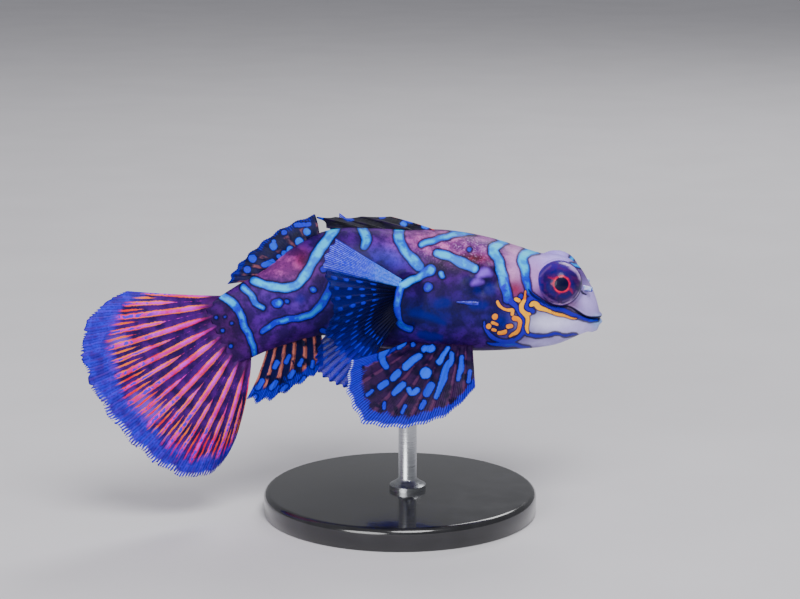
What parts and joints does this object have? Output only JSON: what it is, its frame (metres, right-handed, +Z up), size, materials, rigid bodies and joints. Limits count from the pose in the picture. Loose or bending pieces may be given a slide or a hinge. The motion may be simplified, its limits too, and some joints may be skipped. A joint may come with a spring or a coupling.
{
  "type": "mandarinfish model on display stand",
  "caption": "Life-size still model of a mandarinfish with blue and orange bands and fanned fins, held by a rod on a round base",
  "frame": {"origin": "the middle of the underside of the stand's base", "axes": "+Z up, +X ahead, the way the fish swims, and -Y the fish's right side, which the picture shows"},
  "size_m": [0.0669, 0.036, 0.0402],
  "materials": {
    "skin": "cast resin, painted and varnished as wet skin",
    "fin": "thin cast resin, painted and varnished",
    "eye": "clear, polished resin over a painted iris",
    "base": "polished black acrylic",
    "rod": "brushed steel"
  },
  "bodies": {
    "root": {"head": "skin", "trunk": "skin", "tail": "skin", "eye_left": "eye", "eye_right": "eye", "fin_dorsal_first": "fin", "fin_dorsal_second": "fin", "fin_anal": "fin", "fin_caudal": "fin", "fin_pectoral_left": "fin", "fin_pectoral_right": "fin", "fin_pelvic_left": "fin", "fin_pelvic_right": "fin", "stand_base": "base", "stand_rod": "rod"}
  },
  "joints": []
}
